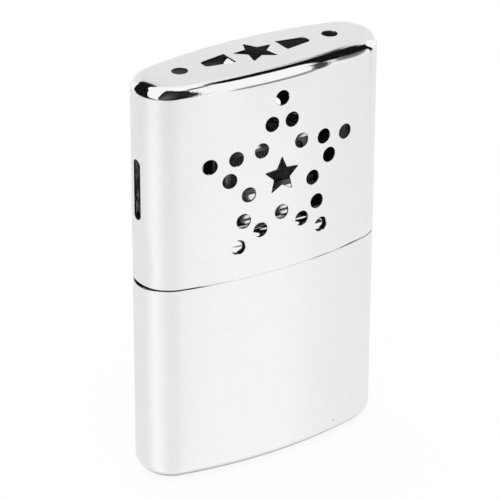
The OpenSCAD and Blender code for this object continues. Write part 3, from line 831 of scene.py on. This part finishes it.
def tubes(centre, across, thick, sides=6):
    """Round wires: centre is (wires, steps, 3), and each wire's skin is its centre plus thick
    times the circle spanned by its two across directions, closed at both ends by a point."""
    wires, steps = centre.shape[:2]
    turn = np.arange(sides) * 2 * math.pi / sides
    ring = np.cos(turn)[:, None] * across[0] + np.sin(turn)[:, None] * across[1]
    skin = centre[:, :, None] + thick * ring
    normals = np.broadcast_to(ring, skin.shape)
    per = steps * sides + 2
    points = np.concatenate([skin.reshape(wires, -1, 3), centre[:, :1], centre[:, -1:]], 1)
    ahead = unit(centre[:, 1:2] - centre[:, :1])
    turned = np.concatenate([normals.reshape(wires, -1, 3), -ahead, ahead], 1)
    last = np.arange((steps - 1) * sides, steps * sides)
    caps = np.vstack([fan(np.arange(sides)[::-1], per - 2), fan(last, per - 1)])
    offset = (np.arange(wires) * per)[:, None, None]
    faces = [(offset + net(steps, sides)).reshape(-1, 4), (offset + caps).reshape(-1, 3)]
    return points.reshape(-1, 3), faces, turned.reshape(-1, 3)


def woven_screen(side, pitch=0.78, wire=0.15, depth=4.575):
    """Plain weave: wires along x and along z, pitch apart. Each one waves in depth by
    0.075 cos(pi t / pitch), and neighbours wave the opposite way, so that they cross over and
    under in turn. side is 1 at the back, and -1 for the same screen turned half round."""
    low, high, half = 72.25 + wire, 82.85 - wire, 10.9 - wire
    rows, cols = int((high - low) / pitch) + 1, int(2 * half / pitch) + 1
    z = (low + high) / 2 + (np.arange(rows) - (rows - 1) / 2) * pitch
    x = (np.arange(cols) - (cols - 1) / 2) * pitch
    t, h = np.linspace(-half, half, 4 * cols + 1), np.linspace(low, high, 4 * rows + 1)
    wave = 0.075 * np.cos(np.pi * (t - x[0]) / pitch) * (-1.0) ** np.arange(rows)[:, None]
    weft = np.stack(np.broadcast_arrays(t, depth + wave, z[:, None]), -1)
    wave = -0.075 * np.cos(np.pi * (h - z[0]) / pitch) * (-1.0) ** np.arange(cols)[:, None]
    warp = np.stack(np.broadcast_arrays(x[:, None], depth + wave, h), -1)
    x_way, y_way, z_way = np.eye(3)
    points, faces, turned = joined(tubes(weft, (y_way, z_way), wire / 2), tubes(warp, (x_way, y_way), wire / 2))
    return points * (side, side, 1), faces, turned * (side, side, 1)


for name, side in (("front_screen", -1), ("back_screen", 1)):
    piece(name + "_weave", "burner", "screen_wire", WIRE, [name], *woven_screen(side))


# ------------------------------------------------------------------ soft pieces
def lumps(p, size, seed):
    """Smooth lumps: the mean of eight sine waves in fixed random directions and phases."""
    rng = np.random.default_rng(seed)
    way = rng.normal(size=(8, 3)) * 2 * math.pi / size
    return np.sin(p @ way.T + rng.uniform(0, 6.28, 8)).mean(1)


def pad(outline, low, high, edge, rows, step):
    """A soft block on a plan: rows from the middle of the base over rounded edges to the top,
    closed by level sheets above and below."""
    body = bend(outline, edge, low + edge, edge, -math.pi / 2, 0, rows)
    body += [hoop(outline, z) for z in np.linspace(low + edge, high - edge, 8)[1:-1]]
    body += bend(outline, edge, high - edge, edge, 0, math.pi / 2, rows)
    skin, normals, faces = rings(body)
    m = len(outline[0])
    skin, normals, faces, _ = level(skin, normals, [faces], np.arange(m), [], step, -1.0)
    return level(skin, normals, faces, np.arange(m) + (len(body) - 1) * m, [], step)[:3]


def fine_outline(l, w, r, steps, most):
    """A rounded rectangle whose straight sides are divided too, no step longer than most."""
    at, length = ruler(box_outline(l, w, r, steps))
    return at(np.linspace(0, length, int(length / most), endpoint=False))


def fibres(count, half, low, high, seed, size=0.045, reach=0.14):
    """Loose fibres on the two broad faces of the wad: short arcs, each with its own place,
    direction and bow, lying on the face and a little proud of it in their middle."""
    rng = np.random.default_rng(seed)
    x0, z0 = rng.uniform(-half[0] + 2.4, half[0] - 2.4, count), rng.uniform(low + 2.2, high - 2.2, count)
    way, run, bow = rng.uniform(0, math.pi, count), rng.uniform(2, 4.2, count), rng.uniform(-0.8, 0.8, count)
    t = np.linspace(-0.5, 0.5, 9)
    u, v = run[:, None] * t, bow[:, None] * (0.25 - t ** 2) * 2
    x = x0[:, None] + u * np.cos(way)[:, None] - v * np.sin(way)[:, None]
    z = z0[:, None] + u * np.sin(way)[:, None] + v * np.cos(way)[:, None]
    side = np.where(np.arange(count) % 2 == 0, 1.0, -1.0)[:, None]
    y = side * (half[1] + reach * (0.25 - t ** 2) * 4 * rng.uniform(0.3, 1, count)[:, None])
    axes = np.eye(3)
    return tubes(np.stack([x, y, z], -1), (axes[1], (axes[0] + axes[2]) / math.sqrt(2)), size, 5)


def build_wad():
    """The wad of coated fibre: a lumpy block with loose fibres over its faces."""
    skin, normals, faces = pad(fine_outline(26.2, 7.7, 2.4, 10, 0.6), 71.2, 83.9, 0.9, 6, 0.8)
    skin = skin + normals * (0.10 * lumps(skin, 2.2, 5) + 0.06 * lumps(skin, 0.9, 6))[:, None]
    return joined((skin, faces, normals), fibres(420, (13.0, 3.9), 71.1, 84.0, 7))[:2]


wad = piece("wad", "burner", "catalyst_fibre", FIBRE, ["catalyst_wad"], *build_wad())


def build_plug():
    """The cotton plug in the neck, a lumpy block."""
    skin, normals, faces = pad(fine_outline(*PLUG, 10, 0.6), 60.4, 64.75, 0.8, 6, 0.8)
    return skin + normals * (0.12 * lumps(skin, 2.5, 11) - 0.04)[:, None], faces


plug = piece("plug", "tank", "cotton", COTTON, ["cotton_plug"], *build_plug())


def build_gauze(tuck=2.2, t=0.12, z=65.0):
    """The gauze over the plug: a level sheet that turns down round it and is tucked in, with
    its edge waved by the folds."""
    outline = fine_outline(*PLUG, 10, 0.5)
    m = len(outline[0])
    wave = 0.06 * np.sin(np.arange(m) * 0.9)
    rows = [hoop((outline[0] + outline[1] * (wave * k)[:, None], outline[1]), z - drop)
            for drop, k in ((tuck, 1.0), (0.6 * tuck, 0.7), (0.4, 0.2))]
    rows += bend(outline, 0.3, z - 0.25, 0.3, 0, math.pi / 2, 5)
    skin, normals, faces = rings(rows)
    skin, normals, faces, _ = level(skin, normals, [faces], np.arange(m) + (len(rows) - 1) * m, [], 0.7)
    return thicken(skin, normals, faces, [low_rim((rows[0][0] - (0, 0, 0.03), rows[0][1]))], t, 0.03)


gauze = piece("gauze", "tank", "gauze", GAUZE, ["plug_gauze"], *build_gauze()[:3])


def build_batting():
    """The batting: one strip folded to three leaves. Its middle line runs to and fro, with a
    half turn at each end; the strip is that line thickened and raised, with lumps."""
    pitch, leaf, thick = 6.7, 42.0, 5.9
    low, high = 1.0, 59.8
    straight = np.linspace(-leaf / 2, leaf / 2, 60)
    turn = np.linspace(0, math.pi, 14)[1:-1]
    swing, pass_by = pitch / 2 * np.sin(turn), pitch / 2 * np.cos(turn)
    line = np.stack([np.concatenate([straight, leaf / 2 + swing, -straight, -leaf / 2 - swing, straight]),
                     np.concatenate([np.full(60, -pitch), -pitch / 2 - pass_by, np.zeros(60), pitch / 2 - pass_by,
                                     np.full(60, pitch)])], 1)
    way = unit(np.gradient(line, axis=0))
    right = np.stack([way[:, 1], -way[:, 0]], 1)
    outer = np.abs(line[:, 1]) > pitch * 0.7
    half = np.where(outer, 1.55, thick / 2)[:, None]
    ends = np.minimum(1, np.sqrt(np.linspace(0.02, 1, 8)))
    half[:8, 0] *= ends
    half[-8:, 0] *= ends[::-1]
    line[:, 1] += np.where(outer, -1.368 * np.sign(line[:, 1]), 0)
    turns = np.linspace(0, 2 * math.pi, 40, endpoint=False)
    c, s = np.cos(turns), np.sin(turns)
    across, up = np.sign(c) * np.abs(c) ** 0.5, np.sign(s) * np.abs(s) ** 0.12
    xy = line[:, None] + right[:, None] * (half * across)[..., None]
    z = (low + high) / 2 + (high - low) / 2 * np.broadcast_to(up, xy.shape[:2])
    skin = np.concatenate([xy, z[..., None]], -1)
    n, k = skin.shape[:2]
    skin = np.vstack([skin.reshape(-1, 3), skin[0].mean(0), skin[-1].mean(0)])
    faces = np.roll(net(n, k)[:, ::-1], 1, 1)
    return skin, [faces, fan(np.arange(k), n * k), fan(np.arange(n * k - 1, n * k - k - 1, -1), n * k + 1)]


batting = piece("batting", "tank", "cotton", COTTON, ["cotton_batting"], *build_batting())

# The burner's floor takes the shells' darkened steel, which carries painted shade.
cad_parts["burner_floor"].data.materials.clear()
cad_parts["burner_floor"].data.materials.append(SHADE_PAINTED_SHELLS)


# ------------------------------------------------------------------ floor, light and camera
def rays(tree, *kinds):
    """1 for the kinds of ray named, and 0 for all others."""
    path = node(tree, "LightPath").outputs
    seen = [path[f"Is {kind} Ray"] for kind in kinds]
    while len(seen) > 1:
        seen[:2] = [maths(tree, "MAXIMUM", *seen[:2])]
    return seen[0]


corners = np.array([(-3000, -3000, 0), (3000, -3000, 0), (3000, 3000, 0), (-3000, 3000, 0)], float)
floor = placed("floor", mesh_of("floor", corners, [np.array([[0, 1, 2, 3]])]))
PAPER, tree, shader, _ = material("paper", Base_Color=(0.9, 0.9, 0.9, 1.0), Roughness=0.9, Specular_IOR_Level=0.0)
glow = node(tree, "Emission", Color=(1.0, 1.0, 1.0, 1.0), Strength=1.03)
seen = ranged(tree, rays(tree, "Camera", "Glossy"), 0.0, 1.0, 0.0, 0.85)
blend = node(tree, "MixShader", _0=seen, _1=shader.outputs[0], _2=glow.outputs[0])
feed(tree, tree.nodes["Material Output"], Surface=blend.outputs[0])
floor.data.materials.append(PAPER)

# The camera stands where the photograph was taken from: azimuth, elevation and roll in
# degrees, the distance and the aim in millimetres, and the focal length in picture widths.
AZ, EL, ROLL = math.radians(-33.09), math.radians(26.82), math.radians(0.25)
back = np.array([math.sin(AZ) * math.cos(EL), -math.cos(AZ) * math.cos(EL), math.sin(EL)])
right = np.array([math.cos(AZ), math.sin(AZ), 0.0])
up = np.cross(back, right)
across = right * math.cos(ROLL) + up * math.sin(ROLL)
upward = up * math.cos(ROLL) - right * math.sin(ROLL)
aim = np.array([0.0, 0.0, 50.0]) - 1.097 * across + 2.841 * upward
SPOT = aim + 708.6 * back
lens = bpy.data.cameras.new("camera")
lens.sensor_width, lens.lens = 36.0, 36.0 * 2911.7 / 500
lens.clip_start, lens.clip_end = 0.01, 20.0
camera = placed("camera", lens)
turn = np.eye(4)
turn[:3] = np.stack([across, upward, back, SPOT * MM], 1)
camera.matrix_world = Matrix(turn.tolist())
bpy.context.scene.camera = camera

# Cards round the object, as a photographer sets them, give the plated sheet its tones and
# its black streaks. They show in reflections only, and each point has its own tone.
CARD, tree, shader, _ = material("card", Base_Color=(0, 0, 0, 1.0), Roughness=1.0, Specular_IOR_Level=0.0,
                                 Emission_Strength=1.0)
feed(tree, shader, Emission_Color=node(tree, "Attribute", {"attribute_name": "tone"}).outputs["Fac"])


def card(name, points, tones):
    """A card from a grid of points, with a tone for each of them."""
    n, k = points.shape[:2]
    tone = np.broadcast_to(tones, (n, k)).ravel()
    made = placed(name, mesh_of(name, points.reshape(-1, 3), [net(n, k, closed=False)], tone=tone))
    made.data.materials.append(CARD)
    for sense in ("camera", "diffuse", "shadow", "transmission", "volume_scatter"):
        setattr(made, "visible_" + sense, False)


def eased(turns, count=96):
    """A row of directions made finer, evenly by its corners, and smoothed by a running mean."""
    turns = np.array(turns, float)
    t = np.linspace(0, len(turns) - 1, count)
    row = np.stack([np.interp(t, np.arange(len(turns)), turns[:, k]) for k in (0, 1)], 1)
    for _ in range(4):
        row[1:-1] = (row[:-2] + 2 * row[1:-1] + row[2:]) / 4
    return row


def flag(name, tone, high, low, reach=1500.0, eye=90.0):
    """A card seen from the object between two rows of directions (degrees from +X, degrees
    up). Each point lies that way at the distance reach, or on the floor where that comes
    first: distance = (eye - 1) / sin of the angle down."""
    t = np.linspace(0, 1, 8)[:, None, None]
    turn = np.radians(eased(high) * (1 - t) + eased(low) * t)
    way = np.stack([np.cos(turn[..., 1]) * np.cos(turn[..., 0]), np.cos(turn[..., 1]) * np.sin(turn[..., 0]),
                    np.sin(turn[..., 1])], -1)
    far = np.minimum(reach, (eye - 1) / np.maximum(-way[..., 2], 1e-6))
    card(name, way * far[..., None] + (0, 0, eye), tone)


def wall_card(name, turns, tones):
    """A card on the floor that gives the upright wall one tone for each angle of its normal.
    From the wall's point with that normal it runs the way the camera's line of sight is
    thrown back, r = v - 2 (v . n) n, so that the tones stand upright in the wall."""
    p, n = OVAL
    angle = np.mod(np.degrees(np.arctan2(n[:, 1], n[:, 0])) - 60, 360) - 300
    order = np.argsort(angle)
    order = order[(angle[order] > turns[0]) & (angle[order] < turns[-1])][::4]
    p, n = p[order], n[order]
    view = unit(p - SPOT[:2])
    thrown = view - 2 * (view * n).sum(1)[:, None] * n
    run = np.array([0, 3, 8, 30, 80, 150, 260, 420.0])
    flat = p[:, None] + run[:, None] * thrown[:, None]
    card(name, np.concatenate([flat, np.full((len(p), len(run), 1), 0.5)], -1),
         np.interp(angle[order], turns, tones)[:, None])


def contact_card(name, insets, tones):
    """The shadow on the floor under the case's rounded edge, as a ring along the plan."""
    rows = [hoop(PLAN(np.linspace(0, ROUND, 400)), 0.04, 0, inset)[0] for inset in insets]
    card(name, np.stack(rows), np.array(tones)[:, None])


BLACK = 0.008
flag("overhead_flag", BLACK,
     [(-62, 64.7), (-17, 72), (14, 68.6), (21, 65.3), (28, 61), (47, 44), (49, 40), (50, 37), (40, 46), (16, 51.3),
      (7, 49), (-3.5, 45.7), (-15, 39), (-26, 24), (-18, 4), (-5, -14)],
     [(-75.6, 53), (-58, 63.7), (-39, 68), (-39.6, 65.4), (-37.3, 62.9), (-25.4, 61.7), (-21, 58.6), (-17, 55.4),
      (-34, 43), (-40.4, 32), (-39.2, 28), (-38.3, 20), (-36, 15), (-33.4, 12.4), (-31, 4), (-16, -17)])
flag("back_flag", BLACK, [(206, -7), (180, 1), (173, 20), (160, 47), (125, 57), (103, 61), (86, 63), (80, 60)],
     [(206, -11), (165, -10.5), (138, -10), (118, -3), (116, 16), (108, 31), (80, 36.5), (63, 34.5)], 1400)
flag("front_flag", BLACK + 0.14 * np.sin(np.linspace(0, math.pi, 8))[:, None] ** 2 * np.linspace(1, 0, 96),
     [(-151, -9), (-150, 15), (-146, 38), (-144, 62), (-140, 78), (-95, 77), (-68, 63)],
     [(-144, -10), (-125, -10), (-105, -9), (-92, -8), (-85, -6), (-82.5, 8), (-80, 42)])
flag("side_flag", 0.06, [(-50.5, -3), (-50, 9), (-48.5, 17), (-46, 25), (-41.5, 37)],
     [(-46, -9), (-45.2, -2), (-44.6, 6), (-43, 16), (-39, 34)], 1600)
flag("low_line", 0.28, [(-74, -1), (-69, 2), (-62.5, 0.5), (-56, 0.5), (-50, 3)],
     [(-74, -12), (-69, -12.5), (-62.5, -14), (-56, -14), (-49, -12)])
flag("grey_flag", np.array([0.05, 0.1, 0.13, 0.15, 0.16, 0.18, 0.25, 0.4])[:, None],
     [(-37, 29), (-34.7, 26.5), (-33, 24), (-32, 21), (-32, 16), (-32, 11)],
     [(-43, 7), (-41.3, 0), (-39.3, -5), (-37, -9), (-35, -11), (-33, -12)], 1600)
flag("edge_card", 0.84, [(49, 36.5), (40, 41), (30, 45.6), (22, 48.5), (14.5, 47.9), (7, 47.2), (-0.5, 45.3),
                         (-8.6, 42.7), (-14.5, 39)],
     [(49, 30), (40, 33), (30, 36), (22, 38), (14, 38), (7, 37), (1, 36), (-6, 35), (-11.5, 34)], 1400)
flag("plate_card", 0.84, [(10, 36), (40, 62), (80, 62), (104, 36)], [(10, 6), (40, 2), (80, 2), (104, 6)])
contact_card("contact_card", [6.0, 3.8, 3.0, 2.3, 1.5, 0.6, -0.6], [0.30, 0.32, 0.36, 0.46, 0.70, 0.88, 0.94])
wall_card("wall_card", [-235, -185, -164, -156, -147, -138, -128, -116, -106, -102, -100, -89, -84, -79, -20],
          [0.85, 0.85, 0.85, 0.92, 1.05, 0.99, 0.88, 0.87, 0.90, 0.97, 0.99, 0.99, 0.92, 0.89, 0.87])

world = bpy.data.worlds.new("studio")
bpy.context.scene.world = world
world.use_nodes = True
tree = world.node_tree
strength = ranged(tree, rays(tree, "Camera", "Glossy", "Transmission"), 0.0, 1.0, 0.9, 1.0)
feed(tree, tree.nodes["Background"], Strength=strength, Color=(1.0, 1.0, 1.0, 1.0))

lamp = bpy.data.lights.new("softbox", "AREA")
lamp.size, lamp.energy = 0.6, 1.2
box = placed("softbox", lamp)
box.location = (-0.35, -0.45, 0.9)
box.visible_glossy = False
box.rotation_euler = (Vector((0, 0, 0.05)) - box.location).to_track_quat("-Z", "Y").to_euler()

bpy.context.scene.view_settings.view_transform = "Standard"
